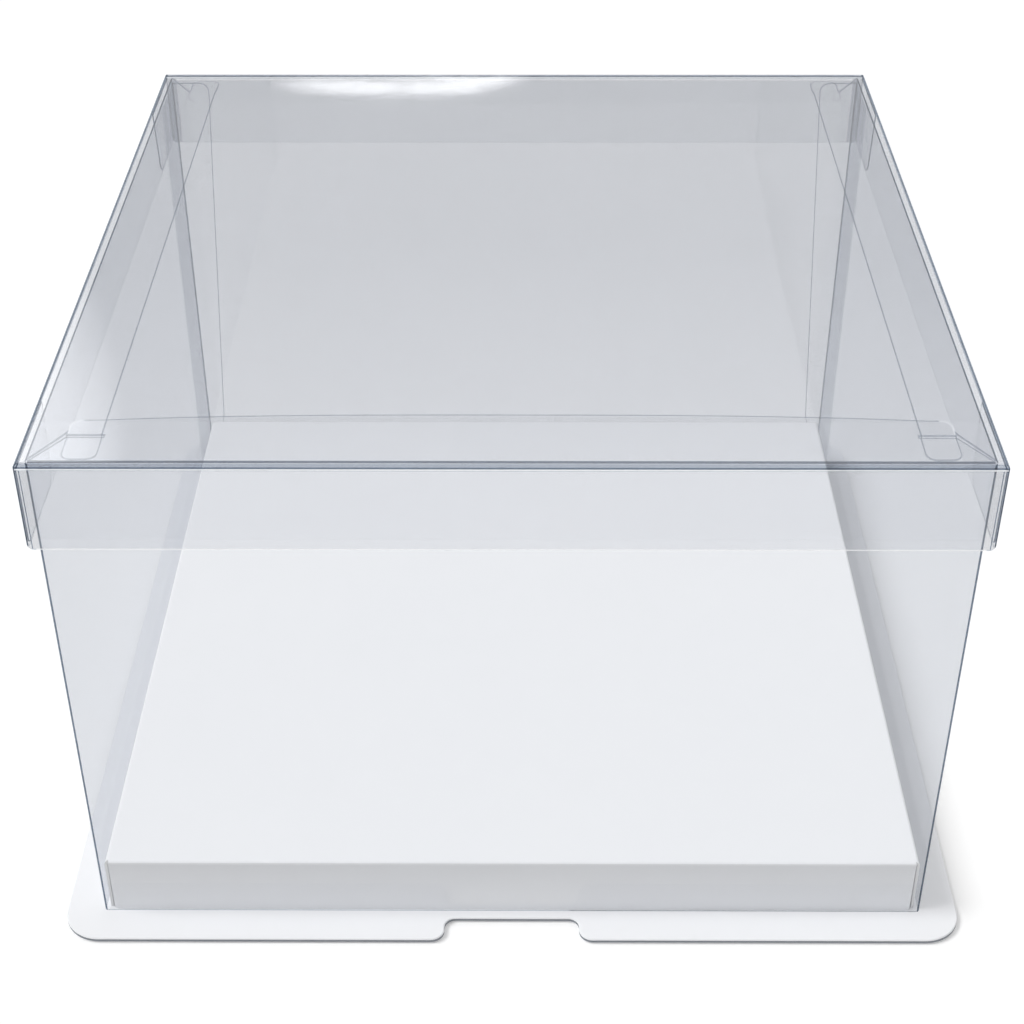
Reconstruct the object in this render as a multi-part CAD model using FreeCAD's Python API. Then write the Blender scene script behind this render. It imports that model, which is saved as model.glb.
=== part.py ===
"""A clear cake box: a card base, a clear sleeve standing on it and a clear lid over the sleeve.

Millimetres, +Z up, front towards -Y, origin at the middle of the base board's underside.
Every panel between two creases is a solid of its own.
"""

import FreeCAD, Part
import math
import os

from FreeCAD import Vector

# Clear sleeve
FILM = 0.5  # thickness of the clear sheet
SLEEVE_WIDTH = 305.0  # outside, left to right
SLEEVE_DEPTH = 305.0  # outside, front to back
SLEEVE_HEIGHT = 203.0  # from the board to the folded top

# Top flaps of the sleeve and the tabs that lock them together
SIDE_FLAP_WIDTH = 22.0
END_FLAP_WIDTH = 28.0  # front and back flaps
END_FLAP_RADIUS = 8.0
LOCK_INSET = 10.4  # from the sleeve's side to the locking slit's open end
LOCK_OFFSET = 15.0  # from the sleeve's front or back to the locking slit
SLIT_CLEARANCE = 0.3  # round the tab where it dips through the slit
TAB_TIP_INSET = 2.0  # from the inner face of the end wall to the tab's tip
TAB_RADIUS = 3.5

# Seam strips down the back corners
SEAM_SIDE_WIDTH = 30.0  # leg on the side wall
SEAM_TOP_WIDTH = 17.0  # leg on the back wall, at its top
SEAM_LOW_WIDTH = 8.0  # the same leg, where its bottom cut starts
SEAM_CUT_HEIGHT = 26.0  # height of that cut
SEAM_FOOT_WIDTH = 3.0  # what is left of the leg at the board
SEAM_TOP_GAP = 1.0  # below the lowest flap
SEAM_RADIUS = 4.0

# Clear lid
LID_PLAY = 2.0  # from the sleeve to the corner tabs, each side
SKIRT_HEIGHT = 33.0
SKIRT_RADIUS = 2.0
CORNER_TAB_LENGTH = 40.0  # along its top
CORNER_TAB_TAPER = 4.0  # shorter by this at its lower edge
CORNER_TAB_RISE = 2.0  # above the skirt's lower edge
CORNER_TAB_RADIUS = 5.0

# Base board
BOARD_THICKNESS = 2.0
BOARD_MARGIN = 14.0  # past the sleeve on every side
BOARD_RADIUS = 14.0
NOTCH_WIDTH = 50.0
NOTCH_DEPTH = 10.4
NOTCH_INNER_RADIUS = 4.0
NOTCH_OUTER_RADIUS = 5.0

# Card tray
CARD = 1.0  # thickness of the folded card
TRAY_HEIGHT = 23.0
TRAY_PLAY = 1.0  # from the tray to the seam strips, each side
CORNER_SLIT = 0.4  # between neighbouring tray walls
WALL_TAPER = 1.8  # front and back walls are shorter by this at each lower end
WALL_RADIUS = 3.0
FLANGE_WIDTH = 20.0
FLANGE_GAP = 1.0  # between the mitred ends of neighbouring flanges
RIB_THICKNESS = 2.0
RIB_END_GAP = 0.5  # from a rib's end to the flange in front of it
LAP_CLEARANCE = 0.2  # round a rib in its neighbour's slot

# Places that follow from the sizes
HALF_WIDTH = SLEEVE_WIDTH / 2
HALF_DEPTH = SLEEVE_DEPTH / 2
BOARD_TOP = BOARD_THICKNESS
SLEEVE_TOP = BOARD_TOP + SLEEVE_HEIGHT
END_FLAP_TOP = SLEEVE_TOP - FILM  # the end flaps lie under the side flaps
TAB_TOP = END_FLAP_TOP - FILM  # the tabs lie under the end flaps
SLIT_Y = HALF_DEPTH - LOCK_OFFSET
FLAP_END_X = HALF_WIDTH - LOCK_INSET
SIDE_FLAP_EDGE = HALF_WIDTH - SIDE_FLAP_WIDTH
SEAM_TOP = TAB_TOP - FILM - SEAM_TOP_GAP
LID_HALF_WIDTH = HALF_WIDTH + LID_PLAY + 2 * FILM
LID_HALF_DEPTH = HALF_DEPTH + LID_PLAY + 2 * FILM
SKIRT_FOOT = SLEEVE_TOP + FILM - SKIRT_HEIGHT
TRAY_HALF_WIDTH = HALF_WIDTH - 2 * FILM - TRAY_PLAY
TRAY_HALF_DEPTH = HALF_DEPTH - 2 * FILM - TRAY_PLAY
DECK_UNDERSIDE = BOARD_TOP + TRAY_HEIGHT - CARD


def outline(corners):
    """A flat face at Z = 0 from (x, y, radius) corners, with an arc at each corner that has a radius."""
    points = [Vector(x, y, 0) for x, y, radius in corners]
    starts = []
    ends = []
    middles = []
    for i, (x, y, radius) in enumerate(corners):
        here = points[i]
        to_last = (points[i - 1] - here).normalize()
        to_next = (points[(i + 1) % len(points)] - here).normalize()
        half_angle = math.acos(max(-1.0, min(1.0, to_last.dot(to_next)))) / 2
        reach = radius / math.tan(half_angle)
        starts.append(here + to_last * reach)
        ends.append(here + to_next * reach)
        bisector = to_last + to_next
        if radius:
            bisector.normalize()
            middles.append(here + bisector * (radius / math.sin(half_angle) - radius))
        else:
            middles.append(here)
    edges = []
    for i, corner in enumerate(corners):
        if corner[2]:
            edges.append(Part.Arc(starts[i], middles[i], ends[i]).toShape())
        edges.append(Part.LineSegment(ends[i], starts[(i + 1) % len(corners)]).toShape())
    return Part.Face(Part.Wire(edges))


def lying(corners, bottom, thickness):
    """A flat sheet with this outline in X and Y."""
    sheet = outline(corners).extrude(Vector(0, 0, thickness))
    sheet.translate(Vector(0, 0, bottom))
    return sheet


def facing_front(corners, front, thickness):
    """An upright sheet with this outline in X and Z, its front face at Y = front."""
    sheet = outline(corners).extrude(Vector(0, 0, thickness))
    sheet.rotate(Vector(0, 0, 0), Vector(1, 0, 0), 90)
    sheet.translate(Vector(0, front + thickness, 0))
    return sheet


def facing_side(corners, left, thickness):
    """An upright sheet with this outline in Y and Z, its left face at X = left."""
    sheet = outline(corners).extrude(Vector(0, 0, thickness))
    sheet.rotate(Vector(0, 0, 0), Vector(1, 0, 0), 90)
    sheet.rotate(Vector(0, 0, 0), Vector(0, 0, 1), 90)
    sheet.translate(Vector(left, 0, 0))
    return sheet


def block(low, high):
    """A box between two corners."""
    size = Vector(*high) - Vector(*low)
    return Part.makeBox(size.x, size.y, size.z, Vector(*low))


def rectangle(half_length, bottom, top, low_radius=0.0):
    """Corners of an upright rectangle about X or Y = 0, with its lower corners rounded."""
    return [
        (-half_length, bottom, low_radius),
        (half_length, bottom, low_radius),
        (half_length, top, 0.0),
        (-half_length, top, 0.0),
    ]


def right_of(shape):
    """The right-hand twin of a left-hand piece."""
    return shape.mirror(Vector(0, 0, 0), Vector(1, 0, 0))


def back_of(shape):
    """The back twin of a front piece."""
    return shape.mirror(Vector(0, 0, 0), Vector(0, 1, 0))


def save(name, shape):
    """Writes one piece, which has to be a single sound solid."""
    solid = shape.Solids[0]
    assert len(shape.Solids) == 1 and solid.isValid(), name
    solid.exportStep(f"parts/{name}.step")


def save_sides(name, left_shape):
    """Writes a left piece and its right twin. The name has a gap for the side."""
    save(name.format("left"), left_shape)
    save(name.format("right"), right_of(left_shape))


def save_ends(name, front_shape):
    """Writes a front piece and its back twin. The name has a gap for the end."""
    save(name.format("front"), front_shape)
    save(name.format("back"), back_of(front_shape))


def base_board():
    """Flat card with rounded corners and a finger notch in its front and back edges."""
    half_width = HALF_WIDTH + BOARD_MARGIN
    half_depth = HALF_DEPTH + BOARD_MARGIN
    half_notch = NOTCH_WIDTH / 2
    notch_floor = half_depth - NOTCH_DEPTH
    front_edge = [
        (-half_width, -half_depth, BOARD_RADIUS),
        (-half_notch, -half_depth, NOTCH_OUTER_RADIUS),
        (-half_notch, -notch_floor, NOTCH_INNER_RADIUS),
        (half_notch, -notch_floor, NOTCH_INNER_RADIUS),
        (half_notch, -half_depth, NOTCH_OUTER_RADIUS),
        (half_width, -half_depth, BOARD_RADIUS),
    ]
    back_edge = [(-x, -y, radius) for x, y, radius in front_edge]
    return lying(front_edge + back_edge, 0.0, BOARD_THICKNESS)


def tray_deck():
    """The flat top that carries the cake."""
    corners = rectangle(TRAY_HALF_WIDTH, -TRAY_HALF_DEPTH, TRAY_HALF_DEPTH)
    return lying(corners, DECK_UNDERSIDE, CARD)


def tray_front_wall():
    """Turned down between the side walls, narrower towards its rounded lower corners."""
    half_top = TRAY_HALF_WIDTH - CARD - CORNER_SLIT
    half_foot = half_top - WALL_TAPER
    corners = [
        (-half_foot, BOARD_TOP, WALL_RADIUS),
        (half_foot, BOARD_TOP, WALL_RADIUS),
        (half_top, DECK_UNDERSIDE, 0.0),
        (-half_top, DECK_UNDERSIDE, 0.0),
    ]
    return facing_front(corners, -TRAY_HALF_DEPTH, CARD)


def tray_left_wall():
    """Turned down over the tray's whole depth."""
    corners = rectangle(TRAY_HALF_DEPTH, BOARD_TOP, DECK_UNDERSIDE)
    return facing_side(corners, -TRAY_HALF_WIDTH, CARD)


def flange(half_length, half_reach):
    """Corners of a turned-in glue flange along a front wall whose inner face is at -half_reach."""
    half_inner = half_length - FLANGE_WIDTH
    return [
        (-half_length, -half_reach, 0.0),
        (half_length, -half_reach, 0.0),
        (half_inner, FLANGE_WIDTH - half_reach, 0.0),
        (-half_inner, FLANGE_WIDTH - half_reach, 0.0),
    ]


def tray_front_flange():
    """Lies on the board behind the front wall."""
    half_length = TRAY_HALF_WIDTH - CARD - FLANGE_GAP
    return lying(flange(half_length, TRAY_HALF_DEPTH - CARD), BOARD_TOP, CARD)


def tray_left_flange():
    """Lies on the board beside the left wall."""
    half_length = TRAY_HALF_DEPTH - CARD - FLANGE_GAP
    corners = flange(half_length, TRAY_HALF_WIDTH - CARD)
    return lying([(y, -x, radius) for x, y, radius in corners], BOARD_TOP, CARD)


def deck_rib(half_length, slot_bottom, slot_top):
    """An upright card strip along X under the deck, slotted at its middle for the other rib."""
    half_thickness = RIB_THICKNESS / 2
    half_slot = half_thickness + LAP_CLEARANCE
    strip = block(
        (-half_length, -half_thickness, BOARD_TOP),
        (half_length, half_thickness, DECK_UNDERSIDE),
    )
    slot = block(
        (-half_slot, -RIB_THICKNESS, slot_bottom),
        (half_slot, RIB_THICKNESS, slot_top),
    )
    return strip.cut(slot)


def deck_ribs():
    """The two ribs, which lap halfway down at the middle of the tray."""
    reach = CARD + FLANGE_WIDTH + RIB_END_GAP
    middle = (BOARD_TOP + DECK_UNDERSIDE) / 2
    half_lap = LAP_CLEARANCE / 2
    across = deck_rib(TRAY_HALF_WIDTH - reach, middle - half_lap, DECK_UNDERSIDE + CARD)
    along = deck_rib(TRAY_HALF_DEPTH - reach, 0.0, middle + half_lap)
    along.rotate(Vector(0, 0, 0), Vector(0, 0, 1), 90)
    return across, along


def sleeve_front_wall():
    """Runs across the sleeve's whole width, up to the end flap."""
    corners = rectangle(HALF_WIDTH, BOARD_TOP, END_FLAP_TOP - FILM)
    return facing_front(corners, -HALF_DEPTH, FILM)


def sleeve_left_wall():
    """Stands between the front and back walls, up to the side flap."""
    corners = rectangle(HALF_DEPTH - FILM, BOARD_TOP, SLEEVE_TOP - FILM)
    return facing_side(corners, -HALF_WIDTH, FILM)


def sleeve_front_flap():
    """Turned in at the top, with mitred ends and a locking slit in each end."""
    half_hinge = HALF_WIDTH - FILM
    inner_edge = END_FLAP_WIDTH - HALF_DEPTH
    corners = [
        (-half_hinge, -HALF_DEPTH, 0.0),
        (half_hinge, -HALF_DEPTH, 0.0),
        (FLAP_END_X, -SLIT_Y, 0.0),
        (FLAP_END_X, inner_edge, END_FLAP_RADIUS),
        (-FLAP_END_X, inner_edge, END_FLAP_RADIUS),
        (-FLAP_END_X, -SLIT_Y, 0.0),
    ]
    flap = lying(corners, END_FLAP_TOP - FILM, FILM)
    half_slit = FILM / 2 + SLIT_CLEARANCE
    slit = block(
        (-HALF_WIDTH, -SLIT_Y - half_slit, TAB_TOP - FILM),
        (SLIT_CLEARANCE - SIDE_FLAP_EDGE, half_slit - SLIT_Y, SLEEVE_TOP),
    )
    return flap.cut(slit).cut(right_of(slit))


def lock_tab():
    """The front end of the left flap: it dips through the slit and lies under the front flap."""
    half_film = FILM / 2
    tip = HALF_DEPTH - FILM - TAB_TIP_INSET
    dip = block(
        (-FLAP_END_X, -SLIT_Y - half_film, TAB_TOP - FILM),
        (-SIDE_FLAP_EDGE, half_film - SLIT_Y, SLEEVE_TOP),
    )
    tongue = lying(
        [
            (-FLAP_END_X, half_film - SLIT_Y, 0.0),
            (-FLAP_END_X, -tip, TAB_RADIUS),
            (-SIDE_FLAP_EDGE, -tip, TAB_RADIUS),
            (-SIDE_FLAP_EDGE, half_film - SLIT_Y, 0.0),
        ],
        TAB_TOP - FILM,
        FILM,
    )
    return dip.fuse(tongue)


def sleeve_left_flap():
    """Turned in at the top over both end flaps, with a locking tab at each end."""
    half_hinge = HALF_DEPTH - FILM
    half_edge = SLIT_Y + FILM / 2
    corner_end = -FLAP_END_X - SLIT_CLEARANCE
    corners = [
        (-HALF_WIDTH, -half_hinge, 0.0),
        (corner_end, -SLIT_Y, 0.0),
        (-FLAP_END_X, -half_edge, 0.0),
        (-SIDE_FLAP_EDGE, -half_edge, 0.0),
        (-SIDE_FLAP_EDGE, half_edge, 0.0),
        (-FLAP_END_X, half_edge, 0.0),
        (corner_end, SLIT_Y, 0.0),
        (-HALF_WIDTH, half_hinge, 0.0),
    ]
    flap = lying(corners, SLEEVE_TOP - FILM, FILM)
    front_tab = lock_tab()
    return flap.fuse([front_tab, back_of(front_tab)]).removeSplitter()


def left_seam_back_leg():
    """The seam strip's leg on the back wall, tapering downwards and cut away at its foot."""
    edge = HALF_WIDTH - FILM
    cut_top = BOARD_TOP + SEAM_CUT_HEIGHT
    corners = [
        (-edge, BOARD_TOP, 0.0),
        (SEAM_FOOT_WIDTH - HALF_WIDTH, BOARD_TOP, 0.0),
        (SEAM_LOW_WIDTH - HALF_WIDTH, cut_top, 0.0),
        (SEAM_TOP_WIDTH - HALF_WIDTH, SEAM_TOP, SEAM_RADIUS),
        (-edge, SEAM_TOP, 0.0),
    ]
    return facing_front(corners, HALF_DEPTH - 2 * FILM, FILM)


def left_seam_side_leg():
    """The seam strip's leg on the side wall."""
    corner = HALF_DEPTH - 2 * FILM
    edge = HALF_DEPTH - FILM - SEAM_SIDE_WIDTH
    corners = [
        (edge, BOARD_TOP, 0.0),
        (corner, BOARD_TOP, 0.0),
        (corner, SEAM_TOP, 0.0),
        (edge, SEAM_TOP, SEAM_RADIUS),
    ]
    return facing_side(corners, FILM - HALF_WIDTH, FILM)


def lid_top_panel():
    """Rests on the sleeve's side flaps."""
    corners = rectangle(LID_HALF_WIDTH, -LID_HALF_DEPTH, LID_HALF_DEPTH)
    return lying(corners, SLEEVE_TOP, FILM)


def lid_front_skirt():
    """Hangs from the panel over its whole width."""
    corners = rectangle(LID_HALF_WIDTH, SKIRT_FOOT, SLEEVE_TOP, SKIRT_RADIUS)
    return facing_front(corners, -LID_HALF_DEPTH, FILM)


def lid_left_skirt():
    """Hangs from the panel between the front and back skirts."""
    corners = rectangle(LID_HALF_DEPTH - FILM, SKIRT_FOOT, SLEEVE_TOP, SKIRT_RADIUS)
    return facing_side(corners, -LID_HALF_WIDTH, FILM)


def lid_front_left_tab():
    """Turned back from the front skirt's end, inside the left skirt."""
    corner = FILM - LID_HALF_DEPTH
    foot = SKIRT_FOOT + CORNER_TAB_RISE
    end = corner + CORNER_TAB_LENGTH
    corners = [
        (corner, foot, SKIRT_RADIUS),
        (end - CORNER_TAB_TAPER, foot, CORNER_TAB_RADIUS),
        (end, SLEEVE_TOP, 0.0),
        (corner, SLEEVE_TOP, 0.0),
    ]
    return facing_side(corners, FILM - LID_HALF_WIDTH, FILM)


def build_base():
    """The board, the folded tray and the ribs inside it."""
    save("base_board", base_board())
    save("tray_deck", tray_deck())
    save_ends("tray_{}_wall", tray_front_wall())
    save_sides("tray_{}_wall", tray_left_wall())
    save_ends("tray_{}_flange", tray_front_flange())
    save_sides("tray_{}_flange", tray_left_flange())
    across, along = deck_ribs()
    save("deck_rib_across", across)
    save("deck_rib_along", along)


def build_sleeve():
    """The four clear walls, their locked top flaps and the two seam strips."""
    save_ends("sleeve_{}_wall", sleeve_front_wall())
    save_sides("sleeve_{}_wall", sleeve_left_wall())
    save_ends("sleeve_{}_flap", sleeve_front_flap())
    save_sides("sleeve_{}_flap", sleeve_left_flap())
    save_sides("sleeve_{}_seam_back_leg", left_seam_back_leg())
    save_sides("sleeve_{}_seam_side_leg", left_seam_side_leg())


def build_lid():
    """The clear panel, its four skirts and the corner tabs inside them."""
    save("lid_top_panel", lid_top_panel())
    save_ends("lid_{}_skirt", lid_front_skirt())
    save_sides("lid_{}_skirt", lid_left_skirt())
    front_tab = lid_front_left_tab()
    save_sides("lid_front_{}_tab", front_tab)
    save_sides("lid_back_{}_tab", back_of(front_tab))


os.makedirs("parts", exist_ok=True)
build_base()
build_sleeve()
build_lid()
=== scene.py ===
import math

import bmesh
import bpy
from mathutils import Matrix, Vector


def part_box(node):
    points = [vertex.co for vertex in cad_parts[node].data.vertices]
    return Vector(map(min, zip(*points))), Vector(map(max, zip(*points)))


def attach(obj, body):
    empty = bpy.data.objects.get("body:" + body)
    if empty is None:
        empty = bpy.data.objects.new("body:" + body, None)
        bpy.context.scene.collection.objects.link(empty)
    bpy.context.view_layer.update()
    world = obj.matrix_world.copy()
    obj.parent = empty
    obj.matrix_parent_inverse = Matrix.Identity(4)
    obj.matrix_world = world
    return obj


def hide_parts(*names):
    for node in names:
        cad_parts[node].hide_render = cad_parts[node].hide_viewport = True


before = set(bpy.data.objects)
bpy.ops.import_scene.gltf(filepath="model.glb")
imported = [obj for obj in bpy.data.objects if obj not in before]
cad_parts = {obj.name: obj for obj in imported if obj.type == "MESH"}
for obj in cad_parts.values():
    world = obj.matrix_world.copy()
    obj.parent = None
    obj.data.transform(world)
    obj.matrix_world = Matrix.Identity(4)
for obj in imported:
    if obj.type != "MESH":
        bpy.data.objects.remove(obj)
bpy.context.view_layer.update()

# Directions and units
MM = 0.001
RIGHT = Vector((1, 0, 0))
BACK = Vector((0, 1, 0))
UP = Vector((0, 0, 1))
SIDES = {"front": -BACK, "back": BACK, "left": -RIGHT, "right": RIGHT}

# Clear sheet
SHEET_SHARE = 0.8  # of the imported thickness, so that sheets lying on each other keep a hair of air
CREASE_RADIUS = 1.0 * MM  # outside of a fold of the sleeve
LID_CREASE_RADIUS = 1.6 * MM  # outside of a fold of the lid
CREASE_STEPS = 8
EDGE_BAND = 0.33 * MM  # a cut edge shows this far in from itself
FLAP_BAND = 0.42 * MM  # the same on the sleeve's top flaps
FRONT_FLAP_BAND = 0.6 * MM
FOOT_BAND = 0.4 * MM  # the same on the sleeve's foot
SKIRT_BAND = 0.5 * MM  # the same on the lid's lower edge
CREASE_WHITENING_AND_HIGHLIGHT = 0.55 * MM  # line beside the lid's folds, pale from crease whitening and a painted highlight
SHADE_LINE = 0.2 * MM  # darker line below it
TAB_LINE_INSET = 1.75 * MM  # from the front skirt's end to the line where its corner tab bulges inwards
TAB_LINE = 0.3 * MM
SKIRT_TURN = 1.7 * MM  # the turn into a corner tab shows this far in from the sleeve's corner
FOLD_DARK_FROM = {"front": 0.75, "back": 0.5, "left": 0.15, "right": 0.15}  # share of a lid fold
FOLD_GREY = 0.5  # share of a lid fold that is grey before it is dark
FLAP_FOLD_DARK_FROM = 0.35  # share of the front flap's fold
FLAP_FOLD_DARK_TO = 0.95

# Outlines of the clear pieces
SKIRT_RADIUS = 2.0 * MM
CORNER_TAB_TAPER = 4.0 * MM
CORNER_TAB_RADIUS = 5.0 * MM
LOCK_INSET = 10.4 * MM  # from the sleeve's side to the locking slit's open end
LOCK_OFFSET = 15.0 * MM  # from the sleeve's front or back to the locking slit
SLIT_CLEARANCE = 0.3 * MM
TAB_TIP_INSET = 2.5 * MM  # from the end wall's outer face to the locking tab's tip
TAB_RADIUS = 3.5 * MM
TAB_DIP = 2.4 * MM  # length over which a locking tab goes down through its slit
DIP_STEPS = 8
END_FLAP_RADIUS = 8.0 * MM
END_FLAP_BOW = 3.4 * MM  # the end flaps are narrower by this at their ends
BOW_STEPS = 28
SEAM_LOW_WIDTH = 8.0 * MM
SEAM_CUT_HEIGHT = 26.0 * MM
SEAM_FOOT_WIDTH = 3.0 * MM
SEAM_RADIUS = 4.0 * MM

# Outlines of the card pieces
CARD_CREASE_RADIUS = 1.4 * MM
CORNER_SLIT = 0.4 * MM
WALL_TAPER = 0.3 * MM
WALL_RADIUS = 1.5 * MM
WALL_LEAN = math.radians(3.2)  # the front and back walls stand out at the foot
CORNER_TAB = 14.0 * MM  # card turned in behind the front and back walls
CARD_GAP = 0.2 * MM
BOARD_RADIUS = 14.0 * MM
BOARD_BEVEL = 0.5 * MM
NOTCH_WIDTH = 50.0 * MM
NOTCH_DEPTH = 10.4 * MM
NOTCH_INNER_RADIUS = 4.0 * MM
NOTCH_OUTER_RADIUS = 5.0 * MM
BOARD_BEVEL_STEPS = 3
ARC_STEP = 0.8 * MM  # longest chord of a rounded corner
ARC_LEAST_STEPS = 6
CUT_TOLERANCE = 0.0001 * MM

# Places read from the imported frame
LID_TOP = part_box("lid_top_panel")[1].z
LID_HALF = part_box("lid_top_panel")[1]
SKIRT_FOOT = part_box("lid_front_skirt")[0].z
TAB_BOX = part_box("lid_front_left_tab")
FILM = LID_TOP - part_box("lid_top_panel")[0].z
SHEET = FILM * SHEET_SHARE
SLEEVE_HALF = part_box("sleeve_front_wall")[1].x
SLEEVE_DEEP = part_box("sleeve_back_wall")[1].y
SLEEVE_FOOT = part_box("sleeve_front_wall")[0].z
SIDE_FLAP_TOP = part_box("sleeve_left_flap")[1].z
END_FLAP_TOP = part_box("sleeve_front_flap")[1].z
SIDE_FLAP_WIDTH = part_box("sleeve_left_flap")[1].x + SLEEVE_HALF
END_FLAP_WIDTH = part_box("sleeve_front_flap")[1].y + SLEEVE_DEEP
TRAY_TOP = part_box("tray_deck")[1].z
TRAY_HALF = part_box("tray_deck")[1]
CARD = TRAY_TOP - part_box("tray_deck")[0].z
BOARD_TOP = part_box("base_board")[1].z
BOARD_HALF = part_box("base_board")[1]

# Clear sheet finish
SHEET_IOR = 1.57
# Painted light and shade: the same sheet gets its own tint on each panel, from nearly clear to about
# 0.7, far more than one sheet's tint would differ
PANEL_TINT = (0.785, 0.80, 0.835, 1)
FRONT_TINT = (0.908, 0.918, 0.935, 1)
BACK_TINT = (0.755, 0.765, 0.785, 1)
SIDE_TINT = (0.71, 0.725, 0.755, 1)
SEAM_TINT = (0.74, 0.755, 0.785, 1)
SKIRT_TINT = (0.86, 0.867, 0.885, 1)
SKIRT_END_TINT = (0.64, 0.65, 0.675, 1)  # where the front and back skirts turn into the corner tabs, darker as painted shade
SIDE_SKIRT_TINT = (0.96, 0.963, 0.97, 1)
BACK_SKIRT_TINT = (0.895, 0.90, 0.91, 1)
FLAP_TINT = (0.99, 0.991, 0.993, 1)
FRONT_FLAP_TINT = (0.955, 0.96, 0.965, 1)
# Painted shade: folds and cut edges are tinted darker in place of the light that the bent or cut sheet
# turns aside
FOLD_TINT = (0.50, 0.54, 0.60, 1)
CREASE_TINT = (0.19, 0.235, 0.30, 1)
EDGE_TINT = (0.55, 0.585, 0.635, 1)
FAINT_TINT = (0.84, 0.855, 0.87, 1)
# Painted highlight: pale lines are white and glow a little though no lamp; beside the lid's folds they
# also stand for crease whitening
PALE_TONE = (0.90, 0.92, 0.95, 1)
PALE_COVER = 0.62  # how much of what is behind a pale line it hides
PALE_PAINTED_GLOW = 0.22
CLEAR = (1, 1, 1, 1)
WHITE = (1, 1, 1, 1)
BLACK = (0, 0, 0, 1)

# Card finish
CARD_LIGHT = (0.955, 0.965, 0.985, 1)
CARD_DARK = (0.925, 0.935, 0.96, 1)
CARD_SHEEN = 0.38
WALL_PAINTED_SHADE = 0.2  # painted shade: how much darker a tray wall gets towards its fold
CARD_EDGE_LIGHT = (0.86, 0.86, 0.86, 1)
CARD_EDGE_DARK = (0.70, 0.71, 0.72, 1)
# Painted light: the tray's card is a little lighter than the board, making up for the dimmer light
# inside the box
BOARD_LIGHT = (0.93, 0.94, 0.965, 1)
BOARD_DARK = (0.90, 0.91, 0.935, 1)
BOARD_SHEEN = 0.45
# The board's cut edge is dark grey, partly its grey core and partly painted shade
BOARD_EDGE_LIGHT = (0.36, 0.38, 0.41, 1)
BOARD_EDGE_DARK = (0.17, 0.19, 0.22, 1)
RIB_LIGHT = (0.56, 0.43, 0.29, 1)
RIB_DARK = (0.46, 0.34, 0.22, 1)
RIB_SHEEN = 0.7

# Camera, found by fitting the box's corners in the photograph
PHOTO_PIXELS = 1024
FOCAL_PIXELS = 1891.7
SENSOR = 36.0
CAMERA_PLACE = Vector((3.09, -642.73, 535.20)) * MM
CAMERA_PITCH = math.radians(35.497)  # below the horizon
CAMERA_YAW = math.radians(0.3206)
CAMERA_ROLL = math.radians(0.1108)

# Studio
FLOOR_HALF = 9.0
FLOOR_GAP = 0.2 * MM
FLOOR_BOUNCE = 0.94
FLOOR_SEEN = 1.08
FLOOR_SHADE = 0.97  # share of the floor's shadow that shows
FLOOR_CLOUD = 0.02  # how much that share varies
SKY_STOPS = ((0.0, 0.95), (0.25, 0.5), (0.46, 0.5), (0.56, 0.85))  # height above the horizon, level
LENS_GLOW = {  # mirrored at the lid's back edge, cut off straight below
    "middle_x": -0.062,
    "middle_z": 0.3838,
    "lowest_z": 0.3838,
    "half_width": 0.068,
    "half_height": 0.0085,
    "crispness": 2.2,
    "brightness": 1.8,
}
CORNER_GLOW = {  # mirrored at the lid's front left corner
    "middle_x": -0.262,
    "middle_z": 0.540,
    "lowest_z": 0.0,
    "half_width": 0.058,
    "half_height": 0.110,
    "crispness": 1.0,
    "brightness": 1.4,
}
SKY_LIGHT = 0.1  # what the sky adds to the light at the horizon
SKY_OVERHEAD = 0.8  # and more overhead
KEY_FROM = Vector((-0.66, 0.03, 0.75))
KEY_LEVEL = 1.35
KEY_SPREAD = math.radians(25)


class Wire:
    """A shader socket that Python arithmetic works on: every operator adds a Math node."""

    def __init__(self, nodes, socket):
        self.nodes = nodes
        self.socket = socket

    def maths(self, operation, first, second=0.0):
        return self.nodes.node("ShaderNodeMath", {"operation": operation}, {0: first, 1: second})

    def __add__(self, other):
        return self.maths("ADD", self, other)

    def __radd__(self, other):
        return self.maths("ADD", other, self)

    def __sub__(self, other):
        return self.maths("SUBTRACT", self, other)

    def __rsub__(self, other):
        return self.maths("SUBTRACT", other, self)

    def __mul__(self, other):
        return self.maths("MULTIPLY", self, other)

    def __rmul__(self, other):
        return self.maths("MULTIPLY", other, self)

    def __truediv__(self, other):
        return self.maths("DIVIDE", self, other)

    def __pow__(self, other):
        return self.maths("POWER", self, other)

    def most(self, other):
        return self.maths("MAXIMUM", self, other)

    def least(self, other):
        return self.maths("MINIMUM", self, other)

    def above(self, other):
        return self.maths("GREATER_THAN", self, other)


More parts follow.
